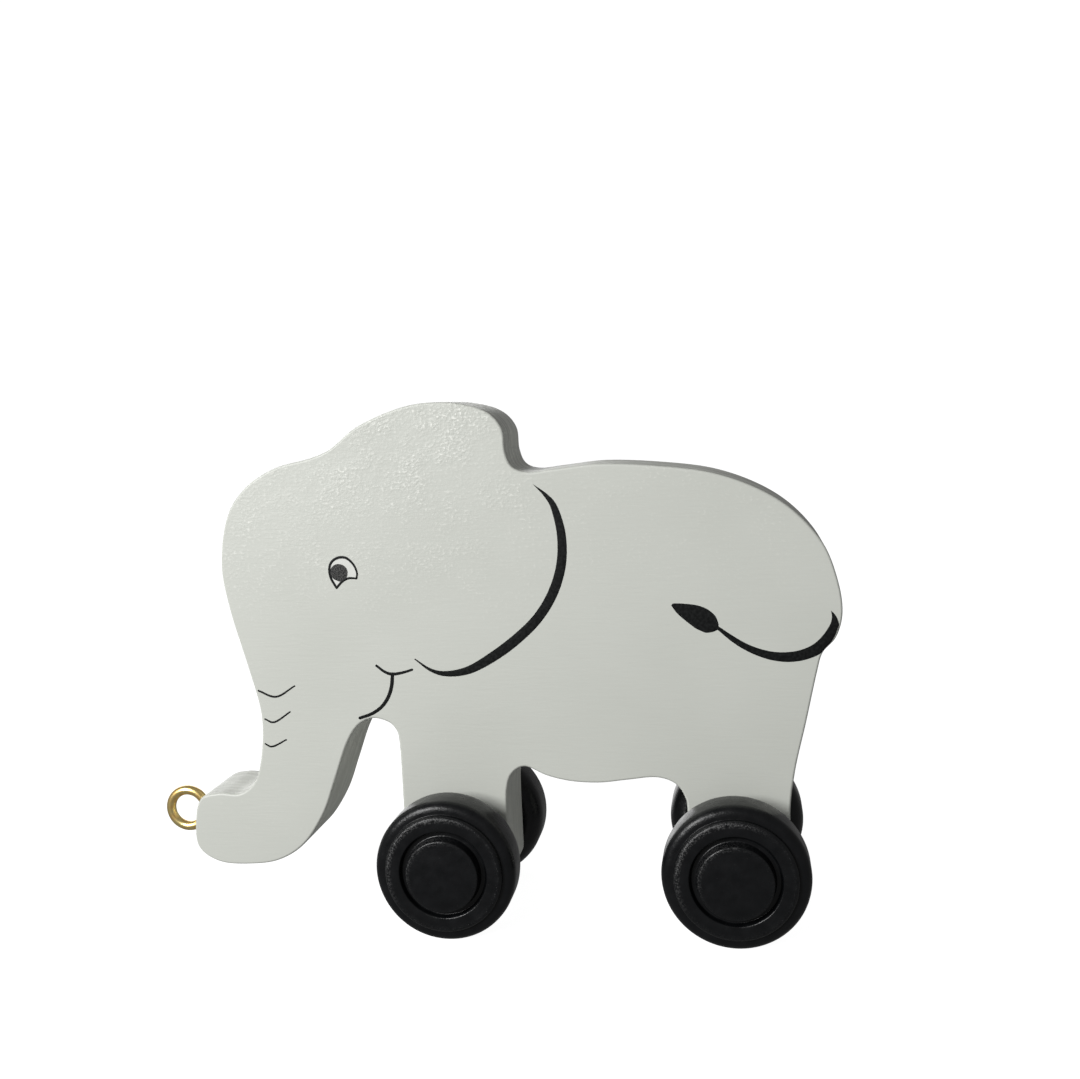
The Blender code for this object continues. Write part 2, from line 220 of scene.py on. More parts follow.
def smooth_run(points, before, after):
    """Points along a smooth curve through the given ones, from the first to the last of them."""
    ends = [Vector(before), *map(Vector, points), Vector(after)]
    run = []
    for start in range(1, len(ends) - 2):
        p0, p1, p2, p3 = ends[start - 1:start + 3]
        for step in range(STEPS_PER_SPAN):
            t = step / STEPS_PER_SPAN
            run.append(
                p1 * (2 * t ** 3 - 3 * t ** 2 + 1)
                + (p2 - p0) / 2 * (t ** 3 - 2 * t ** 2 + t)
                + p2 * (3 * t ** 2 - 2 * t ** 3)
                + (p3 - p1) / 2 * (t ** 3 - t ** 2)
            )
    return run + [ends[-2]]


def open_run(points):
    """A smooth curve through points that carries straight on at its ends."""
    first, second = Vector(points[0]), Vector(points[1])
    last, previous = Vector(points[-1]), Vector(points[-2])
    return smooth_run(points, first * 2 - second, last * 2 - previous)


def arc(centre, radius, start, end, steps):
    """Points on an arc; the angles are in radians from the first axis."""
    return [
        Vector((centre[0] + radius * math.cos(angle), centre[1] + radius * math.sin(angle)))
        for angle in (start + (end - start) * step / steps for step in range(steps + 1))
    ]


def foot(leg):
    """The straight lower end of a leg with its flat sole, from its front side round to its back side."""
    front, back = leg
    corner_height = FOOT_HEIGHT + FOOT_CORNER
    front_centre = (front + FOOT_CORNER, corner_height)
    back_centre = (back - FOOT_CORNER, corner_height)
    return (
        arc(front_centre, FOOT_CORNER, math.pi, 1.5 * math.pi, FOOT_CORNER_STEPS)
        + arc(back_centre, FOOT_CORNER, 1.5 * math.pi, 2 * math.pi, FOOT_CORNER_STEPS)
    )


def elephant_outline():
    """The closed outline, counterclockwise seen with the trunk on the left: head, trunk, belly, back."""
    corner_height = FOOT_HEIGHT + FOOT_CORNER
    trunk = TRUNK_FRONT + TRUNK_TIP + TRUNK_BACK
    head = BROW_AND_FOREHEAD + trunk + CHIN + [(FRONT_LEG[0], LEG_STRAIGHT_TOP)]
    belly = [(FRONT_LEG[1], LEG_STRAIGHT_TOP)] + BELLY + [(REAR_LEG[0], LEG_STRAIGHT_TOP)]
    back = [(REAR_LEG[1], LEG_STRAIGHT_TOP)] + RUMP + BACK + EAR_NOTCH + BROW_AND_FOREHEAD[:1]
    return (
        smooth_run(head, EAR_NOTCH[-1], (FRONT_LEG[0], corner_height))
        + foot(FRONT_LEG)
        + smooth_run(belly, (FRONT_LEG[1], corner_height), (REAR_LEG[0], corner_height))
        + foot(REAR_LEG)
        + smooth_run(back, (REAR_LEG[1], corner_height), BROW_AND_FOREHEAD[1])[:-1]
    )


OUTLINE = np.array([tuple(point) for point in elephant_outline()])
SPANS = np.roll(OUTLINE, -1, axis=0) - OUTLINE
SPAN_LENGTHS = np.hypot(SPANS[:, 0], SPANS[:, 1])
# The outline runs counterclockwise, so turning a span clockwise points it out of the board.
SPAN_NORMALS = np.stack([SPANS[:, 1], -SPANS[:, 0]], axis=1) / SPAN_LENGTHS[:, None]
POINT_NORMALS = SPAN_NORMALS + np.roll(SPAN_NORMALS, 1, axis=0)
POINT_NORMALS /= np.hypot(POINT_NORMALS[:, 0], POINT_NORMALS[:, 1])[:, None]


def nearest_edge(x, height):
    """The outline's nearest point, its outward normal, and how far inside it the given point lies."""
    point = np.array([x, height])
    along = np.einsum("ij,ij->i", point - OUTLINE, SPANS) / SPAN_LENGTHS ** 2
    feet = OUTLINE + SPANS * np.clip(along, 0.0, 1.0)[:, None]
    gaps = np.hypot(*(point - feet).T)
    nearest = int(gaps.argmin())
    share = float(np.clip(along[nearest], 0.0, 1.0))
    following = (nearest + 1) % len(OUTLINE)
    normal = POINT_NORMALS[nearest] * (1.0 - share) + POINT_NORMALS[following] * share
    normal /= np.hypot(*normal)
    inside = -float(np.dot(point - feet[nearest], SPAN_NORMALS[nearest]))
    return feet[nearest], normal, math.copysign(float(gaps[nearest]), inside)


def on_board(x, height, lift, side):
    """A point of the board's skin, lifted off it; past the flat face it follows the rounded edge."""
    foot_point, normal, inside = nearest_edge(x, height)
    half = BOARD_THICKNESS / 2
    past = EDGE_ROUND - inside
    turn = past / EDGE_ROUND
    if past <= 0.0:
        place, depth = np.array([x, height]), half + lift
    elif turn < math.pi / 2:
        reach = (EDGE_ROUND + lift) * math.sin(turn) - EDGE_ROUND
        place = foot_point + normal * reach
        depth = half - EDGE_ROUND + (EDGE_ROUND + lift) * math.cos(turn)
    else:
        place = foot_point + normal * lift
        depth = half - EDGE_ROUND - (past - EDGE_ROUND * math.pi / 2)
    return Vector((REAR_AXLE_X + place[0], side * depth, place[1]))


def mesh_from(name, shape):
    """Turn a bmesh into a mesh and free it."""
    mesh = bpy.data.meshes.new(name)
    shape.to_mesh(mesh)
    shape.free()
    return mesh


def new_object(name, data):
    """Put a new object with the given data into the scene."""
    made = bpy.data.objects.new(name, data)
    bpy.context.scene.collection.objects.link(made)
    return made


def add_piece(name, shape, material, body, sharp_angle, matrix=Matrix.Identity(4)):
    """Make a piece from a bmesh in millimetres and let it ride on a CAD body.

    Each vertex keeps its own place in millimetres in the attribute "place", which the materials read.
    """
    bmesh.ops.remove_doubles(shape, verts=shape.verts, dist=WELD_DISTANCE)
    bmesh.ops.recalc_face_normals(shape, faces=shape.faces)
    mesh = mesh_from(name, shape)
    places = np.empty(len(mesh.vertices) * 3)
    mesh.vertices.foreach_get("co", places)
    mesh.attributes.new("place", "FLOAT_VECTOR", "POINT").data.foreach_set("vector", places)
    mesh.transform(matrix @ Matrix.Scale(MM, 4))
    mesh.shade_smooth()
    mesh.set_sharp_from_angle(angle=math.radians(sharp_angle))
    mesh.materials.append(material)
    piece = new_object(name, mesh)
    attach(piece, body)
    return piece


def join_rings(shape, rings):
    """Skin the space between closed rings of vertices; a ring of one vertex closes to a point."""
    for lower, upper in zip(rings, rings[1:]):
        count = max(len(lower), len(upper))
        for index in range(count):
            after = (index + 1) % count
            corners = []
            for ring, place in ((lower, index), (lower, after), (upper, after), (upper, index)):
                vertex = ring[place % len(ring)]
                if vertex not in corners:
                    corners.append(vertex)
            shape.faces.new(corners)


def lathe(profile):
    """Turn a half section of (radius, height) round the Z axis."""
    shape = bmesh.new()
    rings = []
    for radius, height in profile:
        if radius == 0.0:
            rings.append([shape.verts.new((0.0, 0.0, height))])
            continue
        rings.append([
            shape.verts.new((radius * math.cos(angle), radius * math.sin(angle), height))
            for angle in (2 * math.pi * step / TURNED_SEGMENTS for step in range(TURNED_SEGMENTS))
        ])
    join_rings(shape, rings)
    return shape


def round_corners(corners):
    """A profile whose corners (radius, height, rounding) are eased by arcs of their rounding."""
    profile = [corners[0][:2]]
    for previous, corner, following in zip(corners, corners[1:], corners[2:]):
        here = Vector(corner[:2])
        rounding = corner[2]
        if rounding == 0.0:
            profile.append(corner[:2])
            continue
        back = (Vector(previous[:2]) - here).normalized()
        ahead = (Vector(following[:2]) - here).normalized()
        half_angle = back.angle(ahead) / 2
        centre = here + (back + ahead).normalized() * (rounding / math.sin(half_angle))
        start = here + back * (rounding / math.tan(half_angle)) - centre
        end = here + ahead * (rounding / math.tan(half_angle)) - centre
        start_angle = math.atan2(start.y, start.x)
        turn = math.remainder(math.atan2(end.y, end.x) - start_angle, 2 * math.pi)
        eased = arc(centre, rounding, start_angle, start_angle + turn, CORNER_STEPS)
        profile += [tuple(point) for point in eased]
    profile.append(corners[-1][:2])
    return profile


# Pieces -----------------------------------------------------------------------------------------

def board_ring(shape, turn, side):
    """One ring of the board's edge; turn goes from 0 on the flat face to a right angle on the wall."""
    inset = EDGE_ROUND * (1.0 - math.sin(turn))
    depth = BOARD_THICKNESS / 2 - EDGE_ROUND + EDGE_ROUND * math.cos(turn)
    ring = OUTLINE - POINT_NORMALS * inset
    return [shape.verts.new((REAR_AXLE_X + x, side * depth, height)) for x, height in ring]


def drill(board, axle_x):
    """Cut an axle's bore through the board with a cutter, which is returned."""
    shape = bmesh.new()
    bmesh.ops.create_cone(
        shape, cap_ends=True, segments=TURNED_SEGMENTS, radius1=BORE_DIAMETER / 2, radius2=BORE_DIAMETER / 2,
        depth=2 * BOARD_THICKNESS)
    mesh = mesh_from("bore", shape)
    place = Matrix.Translation((axle_x, 0.0, AXLE_HEIGHT)) @ Matrix.Rotation(math.pi / 2, 4, "X")
    mesh.transform(place)
    cutter = new_object("bore", mesh)
    modifier = board.modifiers.new("bore", "BOOLEAN")
    modifier.operation = "DIFFERENCE"
    modifier.solver = "EXACT"
    modifier.object = cutter
    return cutter


def make_board(paint):
    """The sawn board with rounded edges and a bore through each leg."""
    shape = bmesh.new()
    turns = [math.pi / 2 * step / EDGE_ROUND_STEPS for step in range(EDGE_ROUND_STEPS + 1)]
    rings = [board_ring(shape, turn, -1) for turn in turns]
    rings += [board_ring(shape, turn, 1) for turn in reversed(turns)]
    join_rings(shape, rings)
    shape.faces.new(rings[0])
    shape.faces.new(rings[-1])
    bmesh.ops.recalc_face_normals(shape, faces=shape.faces)
    uncut = new_object("uncut_board", mesh_from("uncut_board", shape))
    cutters = [drill(uncut, axle_x) for axle_x in (FRONT_AXLE_X, REAR_AXLE_X)]
    bpy.context.view_layer.update()
    cut = bmesh.new()
    cut.from_object(uncut, bpy.context.evaluated_depsgraph_get())
    for helper in (uncut, *cutters):
        bpy.data.objects.remove(helper, do_unlink=True)
    board = add_piece("elephant_board", cut, paint, "body", WOOD_SHARP_ANGLE)
    board.modifiers.new("even_shading", "WEIGHTED_NORMAL").keep_sharp = True
    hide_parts("elephant_body")


def evenly(run):
    """The same curve as PAINT_ROWS spans of one length."""
    points = np.array([tuple(point) for point in run])
    steps = np.hypot(*np.diff(points[:, :2], axis=0).T)
    distance = np.concatenate([[0.0], np.cumsum(steps)])
    wanted = np.linspace(0.0, distance[-1], PAINT_ROWS + 1)
    return np.stack([np.interp(wanted, distance, column) for column in points.T], axis=1)


def stroke_edges(points):
    """The two edges of a stroke given by its middle line and widths, with round ends."""
    run = evenly(open_run(points))
    middle = run[:, :2]
    half_width = np.maximum(run[:, 2], 0.0) / 2
    ahead = np.gradient(middle, axis=0)
    ahead /= np.hypot(ahead[:, 0], ahead[:, 1])[:, None]
    across = np.stack([ahead[:, 1], -ahead[:, 0]], axis=1)
    angles = np.linspace(0.0, math.pi / 2, STROKE_END_STEPS, endpoint=False)
    past = np.cos(angles)[:, None]
    start = middle[0] - ahead[0] * half_width[0] * past
    end = middle[-1] + ahead[-1] * half_width[-1] * past[::-1]
    centres = np.concatenate([start, middle, end])
    widths = np.concatenate([
        half_width[0] * np.sin(angles), half_width, half_width[-1] * np.sin(angles)[::-1]])
    sideways = np.concatenate([
        np.repeat(across[:1], len(start), axis=0), across, np.repeat(across[-1:], len(end), axis=0)])
    offset = sideways * widths[:, None]
    return centres + offset, centres - offset


def add_film(shape, edges, lift, side):
    """A closed film of paint between two edges, thin at its borders and sunk a little into the board."""
    top = []
    bottom = []
    for first, second in zip(*edges):
        columns = [first + (second - first) * column / PAINT_COLUMNS for column in range(PAINT_COLUMNS + 1)]
        # The film is nearly level in the middle and falls off at both borders.
        crown = [1.0 - (2 * column / PAINT_COLUMNS - 1.0) ** 4 for column in range(PAINT_COLUMNS + 1)]
        top.append([
            shape.verts.new(on_board(x, height, lift * (BORDER_LIFT + (1.0 - BORDER_LIFT) * rise), side))
            for (x, height), rise in zip(columns, crown)
        ])
        bottom.append([shape.verts.new(on_board(x, height, -PAINT_SINK, side)) for x, height in columns])
    loops = [upper + lower[::-1] for upper, lower in zip(top, bottom)]
    join_rings(shape, loops)
    shape.faces.new(loops[0])
    shape.faces.new(loops[-1])


def make_drawing(name, edge_pairs, lift, material):
    """The same drawing on both faces of the board, one piece for each face."""
    for side_name, side in SIDES.items():
        shape = bmesh.new()
        for edges in edge_pairs:
            add_film(shape, edges, lift, side)
        bmesh.ops.remove_doubles(shape, verts=shape.verts, dist=WELD_DISTANCE)
        bmesh.ops.dissolve_degenerate(shape, edges=shape.edges, dist=WELD_DISTANCE)
        add_piece(f"{name}_{side_name}", shape, material, "body", FINE_SHARP_ANGLE)


def make_drawings(line_paint, pupil_paint, white_paint):
    """The eye, the ear, the mouth, the wrinkles on the trunk and the tail."""
    lids = [evenly(open_run([point[:2] for point in lid])) for lid in (UPPER_LID, LOWER_LID[::-1])]
    pupil = [
        np.array([tuple(point) for point in arc(PUPIL_CENTRE, PUPIL_RADIUS, math.pi, end, PAINT_ROWS)])
        for end in (0.0, 2 * math.pi)
    ]
    tuft = [evenly(open_run(edge)) for edge in (TUFT_TOP, TUFT_BOTTOM)]
    lines = {
        "eye_lids": [stroke_edges(UPPER_LID), stroke_edges(LOWER_LID)],
        "ear_line": [stroke_edges(EAR)],
        "mouth_lines": [stroke_edges(CHEEK), stroke_edges(SMILE)],
        "trunk_wrinkles": [stroke_edges(line) for line in TRUNK_WRINKLES],
        "tail_lines": [stroke_edges(TAIL), tuft],
    }
    make_drawing("eye_white", [lids], EYE_WHITE_LIFT, white_paint)
    make_drawing("pupil", [pupil], PUPIL_LIFT, pupil_paint)
    for name, edge_pairs in lines.items():
        make_drawing(name, edge_pairs, LINE_LIFT, line_paint)


def wheel_profile():
    """Half section of a wheel, from the hub's centre over the outer side to the socket.

    Each corner is (radius, height above the inner side, rounding).
    """
    inner_ring, outer_ring = RING_RADII
    ring_height = WHEEL_WIDTH - RING_SETBACK
    groove_height = ring_height - GROOVE_DEPTH
    shoulder_height = WHEEL_WIDTH - SHOULDER_SETBACK
    socket_radius = AXLE_RADIUS + GLUE_GAP
    return round_corners([
        (0.0, WHEEL_WIDTH, 0.0),
        (HUB_RADIUS, WHEEL_WIDTH, GROOVE_EDGE),
        (HUB_RADIUS + GROOVE_TAPER, groove_height, GROOVE_EDGE),
        (inner_ring - GROOVE_TAPER, groove_height, GROOVE_EDGE),
        (inner_ring, ring_height, RING_INNER_EDGE),
        (outer_ring, ring_height, RING_EDGE),
        (outer_ring, shoulder_height, SHOULDER_CORNER),
        (WHEEL_RADIUS, shoulder_height, OUTER_EDGE),
        (WHEEL_RADIUS, 0.0, INNER_EDGE),
        (socket_radius, 0.0, SOCKET_EDGE),
        (socket_radius, SOCKET_DEPTH, 0.0),
        (0.0, SOCKET_DEPTH, 0.0),
    ])


def axle_profile():
    """Half section of a dowel with eased ends."""
    return round_corners([
        (0.0, AXLE_HALF_LENGTH, 0.0),
        (AXLE_RADIUS, AXLE_HALF_LENGTH, AXLE_CHAMFER),
        (AXLE_RADIUS, -AXLE_HALF_LENGTH, AXLE_CHAMFER),
        (0.0, -AXLE_HALF_LENGTH, 0.0),
    ])


def make_wheelset(end, axle_x, wood, black):
    """One dowel with a wheel glued on each end."""
    body = f"{end}_wheelset"
    middle = Vector((axle_x, 0.0, AXLE_HEIGHT)) * MM
    across = Matrix.Rotation(math.pi / 2, 4, "X")
    dowel = add_piece(
        f"{end}_dowel", lathe(axle_profile()), wood, body, WOOD_SHARP_ANGLE,
        matrix=Matrix.Translation(middle) @ across)
    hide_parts(f"{end}_axle")
    for side_name, side in SIDES.items():
        place = middle + Vector((0.0, side * WHEEL_INNER_Y, 0.0)) * MM
        turn = Matrix.Rotation(-side * math.pi / 2, 4, "X")
        wheel = add_piece(
            f"{end}_turned_wheel_{side_name}", lathe(wheel_profile()), black, body,
            WOOD_SHARP_ANGLE, matrix=Matrix.Translation(place) @ turn)
        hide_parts(f"{end}_wheel_{side_name}")


def eye_path():
    """Middle line of the eye's wire: round from its free end, then through the neck into the shank."""
    neck_reach = math.sqrt(EYE_RING_RADIUS ** 2 + 2 * EYE_RING_RADIUS * EYE_NECK_RADIUS)
    neck_angle = -math.asin(EYE_NECK_RADIUS / (EYE_RING_RADIUS + EYE_NECK_RADIUS))
    turn = 2 * math.pi + neck_angle - EYE_OPENING
    ring = arc((0.0, 0.0), EYE_RING_RADIUS, EYE_OPENING, 2 * math.pi + neck_angle, round(turn / EYE_STEP))
    neck_centre = (neck_reach, -EYE_NECK_RADIUS)
    neck = arc(neck_centre, EYE_NECK_RADIUS, math.pi + neck_angle, math.pi / 2, EYE_NECK_STEPS)
    return ring + neck[1:], neck_reach


def wire_ring(shape, centre, direction, radii):
    """A ring of vertices round the wire, which runs in the XZ plane."""
    across = Vector((-direction.y, direction.x))
    ring = []
    for index, radius in enumerate(radii):
        angle = 2 * math.pi * index / WIRE_SIDES
        out = across * (radius * math.cos(angle))
        ring.append(shape.verts.new((centre.x + out.x, radius * math.sin(angle), centre.y + out.y)))
    return ring


def shank_radii(distance):
    """Radii round the shank at a distance from the neck: plain at first, then threaded, then pointed."""
    threaded = min(max(distance - THREAD_START, 0.0), 1.0)
    taper = min(1.0, (SHANK_LENGTH - distance) / EYE_WIRE)
    radii = []
    for index in range(WIRE_SIDES):
        wave = 0.5 + 0.5 * math.cos(2 * math.pi * (distance / THREAD_PITCH - index / WIRE_SIDES))
        radius = taper * EYE_WIRE / 2 - taper * threaded * THREAD_DEPTH * wave
        radii.append(max(radius, SHANK_TIP_RADIUS))
    return radii


def make_screw_eye(brass):
    """Brass wire bent into an open ring, with a threaded shank that goes straight back into the trunk."""
    shape = bmesh.new()
    wire_radius = EYE_WIRE / 2
    path, neck_reach = eye_path()
    ahead = (path[1] - path[0]).normalized()
    rings = [[shape.verts.new((path[0].x, 0.0, path[0].y))]]
    for angle in WIRE_END_ANGLES:
        radius = wire_radius - WIRE_END_ROUND * (1.0 - math.sin(angle))
        centre = path[0] + ahead * WIRE_END_ROUND * (1.0 - math.cos(angle))
        rings.append(wire_ring(shape, centre, ahead, [radius] * WIRE_SIDES))
    for before, here, after in zip(path, path[1:], path[2:]):
        rings.append(wire_ring(shape, here, (after - before).normalized(), [wire_radius] * WIRE_SIDES))
    straight = Vector((1.0, 0.0))
    for step in range(SHANK_STEPS + 1):
        distance = SHANK_LENGTH * step / SHANK_STEPS
        rings.append(wire_ring(shape, path[-1] + straight * distance, straight, shank_radii(distance)))
    rings.append([shape.verts.new((path[-1].x + SHANK_LENGTH, 0.0, path[-1].y))])
    join_rings(shape, rings)
    trunk_tip = min(x for x, _ in TRUNK_TIP)
    centre_x = REAR_AXLE_X + trunk_tip - neck_reach + EYE_NECK_SINK
    place = Matrix.Translation(Vector((centre_x, 0.0, EYE_HEIGHT)) * MM)
    eye = add_piece("brass_screw_eye", shape, brass, "body", FINE_SHARP_ANGLE, matrix=place)
    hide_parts("screw_eye")


# Materials --------------------------------------------------------------------------------------

class Surface:
    """A Principled material and short ways to add the nodes that vary it."""

    def __init__(self, name, roughness, specular=0.5, metallic=0.0):
        self.material = bpy.data.materials.new(name)
        self.material.use_nodes = True
        self.nodes = self.material.node_tree.nodes
        self.links = self.material.node_tree.links
        self.shader = self.nodes["Principled BSDF"]
        self.shader.inputs["Roughness"].default_value = roughness
        self.shader.inputs["Specular IOR Level"].default_value = specular
        self.shader.inputs["Metallic"].default_value = metallic
        self.place = self.nodes.new("ShaderNodeAttribute")
        self.place.attribute_name = "place"

    def noise(self, scale, detail=2.0, stretch=(1.0, 1.0, 1.0), distortion=0.0):
        """Noise in cycles per millimetre, stretched along the piece's own axes."""
        mapping = self.nodes.new("ShaderNodeMapping")
        mapping.inputs["Scale"].default_value = stretch
        self.links.new(self.place.outputs["Vector"], mapping.inputs["Vector"])
        node = self.nodes.new("ShaderNodeTexNoise")
        node.inputs["Scale"].default_value = scale
        node.inputs["Detail"].default_value = detail
        node.inputs["Distortion"].default_value = distortion
        self.links.new(mapping.outputs["Vector"], node.inputs["Vector"])
        return node.outputs["Fac"]

    def coordinate(self, axis):
        """One of the place's coordinates, in millimetres."""
        node = self.nodes.new("ShaderNodeSeparateXYZ")
        self.links.new(self.place.outputs["Vector"], node.inputs["Vector"])
        return node.outputs[axis]

    def spread(self, source, low, high, bottom=0.0, top=1.0):
        """Map source values from low..high to bottom..top and keep them there."""
        node = self.nodes.new("ShaderNodeMapRange")
        for socket, value in (("From Min", low), ("From Max", high), ("To Min", bottom), ("To Max", top)):
            node.inputs[socket].default_value = value
        self.links.new(source, node.inputs["Value"])
        return node.outputs["Result"]

    def math(self, operation, first, second=0.0):
        """Arithmetic on one or two values, each a number or another node's output."""
        node = self.nodes.new("ShaderNodeMath")
        node.operation = operation
        for socket, value in zip(node.inputs, (first, second)):
            if isinstance(value, (int, float)):
                socket.default_value = value
            else:
                self.links.new(value, socket)
        return node.outputs["Value"]

    def mix(self, share, first, second):
        """Mix two colours, each a tuple or another node's output."""
        node = self.nodes.new("ShaderNodeMix")
        node.data_type = "RGBA"
        self.links.new(share, node.inputs["Factor"])
        for socket, value in ((node.inputs[6], first), (node.inputs[7], second)):
            if isinstance(value, tuple):
                socket.default_value = (*value, 1.0)
            else:
                self.links.new(value, socket)
        return node.outputs[2]

    def colour(self, source):
        self.links.new(source, self.shader.inputs["Base Color"])

    def roughness(self, source):
        self.links.new(source, self.shader.inputs["Roughness"])

    def bump(self, height, depth):
        """Surface relief; depth is in millimetres."""
        node = self.nodes.new("ShaderNodeBump")
        node.inputs["Strength"].default_value = 1.0
        node.inputs["Distance"].default_value = depth * MM
        self.links.new(height, node.inputs["Height"])
        if self.shader.inputs["Normal"].is_linked:
            previous = self.shader.inputs["Normal"].links[0].from_socket
            self.links.new(previous, node.inputs["Normal"])
        self.links.new(node.outputs["Normal"], self.shader.inputs["Normal"])


def painted_board():
    """Pale grey satin paint, brushed along the board and gritty on the head, with painted glints and painted
    shade on the grit.

    The sawn edge shows the grain as pale and dark streaks, more clearly toward the top.
    """
    paint = Surface("grey_paint_on_wood", 0.45)
    height = paint.coordinate("Z")

    # The brushed coat
    grain = paint.noise(1.3, detail=3.0, stretch=(0.14, 1.2, 1.2), distortion=0.4)
    cloud = paint.noise(0.03, detail=2.0)
    tone = paint.mix(paint.spread(cloud, 0.3, 0.7), (0.582, 0.597, 0.549), (0.614, 0.629, 0.581))
    tone = paint.mix(paint.spread(grain, 0.35, 0.75, 0.0, 0.14), tone, (0.52, 0.53, 0.49))
    paint.roughness(paint.spread(grain, 0.3, 0.7, 0.40, 0.48))

    # Grit on the head, in patches: real relief, with painted shade in its pits and painted glints on its tips
    grit = paint.noise(1.5, detail=2.0, stretch=(0.8, 1.0, 1.0))
    patches = paint.noise(0.15, detail=2.0)
    ahead = paint.spread(paint.coordinate("X"), HEAD_FRONT_X, HEAD_BACK_X, 1.0, 0.3)
    above = paint.spread(height, CHEEK_HEIGHT, HEAD_HEIGHT, 0.06, 1.0)
    grit_and_glint_zone = paint.math("MULTIPLY", ahead, above)
    grit_and_glint_share = paint.math("MULTIPLY", grit_and_glint_zone, paint.spread(patches, 0.40, 0.62, 0.3, 1.0))
    painted_shade_pits = paint.math("MULTIPLY", grit_and_glint_share, paint.spread(grit, 0.42, 0.30, 0.0, 0.5))
    painted_glint_tips = paint.math("MULTIPLY", grit_and_glint_share, paint.spread(grit, 0.57, 0.68, 0.0, 0.8))
    # Painted shade darkens the grit's pits; painted glints lighten its tips.
    tone = paint.mix(painted_shade_pits, tone, (0.50, 0.51, 0.47))
    tone = paint.mix(painted_glint_tips, tone, (0.98, 0.98, 0.92))

    # Grain on the sawn edge: pale and dark streaks that run round the board
    plies = paint.noise(0.45, detail=3.0, stretch=(0.16, 1.0, 0.16), distortion=0.3)
    half = BOARD_THICKNESS / 2
    depth = paint.math("ABSOLUTE", paint.coordinate("Y"))
    on_edge = paint.spread(depth, half - 2 * EDGE_ROUND, half - EDGE_ROUND, 1.0, 0.0)
    toward_top = paint.spread(height, FOOT_HEIGHT, HEAD_HEIGHT, 0.2, 1.0)
    streaked = paint.math("MULTIPLY", on_edge, toward_top)
    pale = paint.math("MULTIPLY", paint.spread(plies, 0.50, 0.62, 0.0, 0.55), streaked)
    dark = paint.math("MULTIPLY", paint.spread(plies, 0.49, 0.37, 0.0, 0.65), streaked)
    tone = paint.mix(pale, tone, (0.86, 0.86, 0.80))
    tone = paint.mix(dark, tone, (0.38, 0.37, 0.33))

    paint.colour(tone)
    paint.bump(paint.math("MULTIPLY", grit, grit_and_glint_share), 0.20)
    paint.bump(grain, 0.03)
    paint.bump(paint.math("MULTIPLY", plies, on_edge), 0.15)
    return paint.material


def plain_paint(name, dark, light, roughness, scale, specular=0.5):
    """A brushed-on paint with small, uneven patches."""
    paint = Surface(name, roughness, specular)
    patches = paint.noise(scale, detail=4.0)
    paint.colour(paint.mix(paint.spread(patches, 0.42, 0.72), dark, light))
    paint.roughness(paint.spread(patches, 0.3, 0.7, roughness - 0.08, roughness + 0.08))
    paint.bump(patches, 0.03)
    return paint.material


def wheel_paint():
    """Black satin paint on turned wood: a brushed coat, with painted highlights in small spots along the
    turned edges on one side.
    """
    paint = Surface("black_paint_on_wood", 0.3, specular=0.3)

    # The brushed coat with a few pale specks
    coat = paint.noise(0.35, detail=3.0)
    specks = paint.noise(3.2, detail=3.0)
    tone = paint.mix(paint.spread(coat, 0.3, 0.7), (0.0024, 0.0027, 0.0033), (0.0048, 0.0052, 0.0060))
    tone = paint.mix(paint.spread(specks, 0.71, 0.77, 0.0, 0.5), tone, (0.050, 0.050, 0.049))
    paint.roughness(paint.spread(coat, 0.3, 0.7, 0.26, 0.36))

    # Painted highlights along the turned edges, as bands round the wheel's own axis, on the side where the
    # key light's highlight falls
    squares = [paint.math("POWER", paint.coordinate(axis), 2.0) for axis in "XY"]
    radius = paint.math("SQRT", paint.math("ADD", *squares))
    hub_band, ring_band = [
        paint.spread(paint.math("ABSOLUTE", paint.math("SUBTRACT", radius, edge)), 0.0, EDGE_HIGHLIGHT_BAND, 1.0, 0.0)
        for edge in (HUB_RADIUS - EDGE_HIGHLIGHT_BAND / 3, RING_RADII[1] - RING_EDGE)
    ]
    toward_painted_highlight = paint.math("SUBTRACT", paint.coordinate("Y"), paint.coordinate("X"))
    highlight_side = paint.spread(toward_painted_highlight, HIGHLIGHT_START * WHEEL_RADIUS, WHEEL_RADIUS, 0.05, 1.0)
    edges = paint.math("MULTIPLY", paint.math("MAXIMUM", hub_band, ring_band), highlight_side)
    # Pale specks of painted highlight on the edges toward the key light
    painted_highlight_specks = paint.math("MULTIPLY", edges, paint.spread(specks, 0.50, 0.60))
    paint.colour(paint.mix(painted_highlight_specks, tone, (0.11, 0.11, 0.11)))

    paint.bump(paint.noise(2.2, detail=2.0), 0.05)
    paint.bump(coat, 0.08)
    paint.bump(paint.math("MULTIPLY", specks, ring_band), 0.15)
    return paint.material


def beech_wood():
    """Bare beech with fine grain along the dowel and short dark flecks."""
    wood = Surface("bare_beech", 0.6)
    grain = wood.noise(1.2, detail=4.0, stretch=(1.0, 1.0, 0.06), distortion=0.4)
    flecks = wood.noise(2.5, detail=1.0, stretch=(1.0, 1.0, 0.25))
    tone = wood.mix(wood.spread(grain, 0.3, 0.7), (0.62, 0.42, 0.24), (0.50, 0.31, 0.16))
    tone = wood.mix(wood.spread(flecks, 0.62, 0.72, 0.0, 0.6), tone, (0.30, 0.16, 0.08))
    wood.colour(tone)
    wood.roughness(wood.spread(grain, 0.3, 0.7, 0.52, 0.68))
    wood.bump(grain, 0.04)
    return wood.material


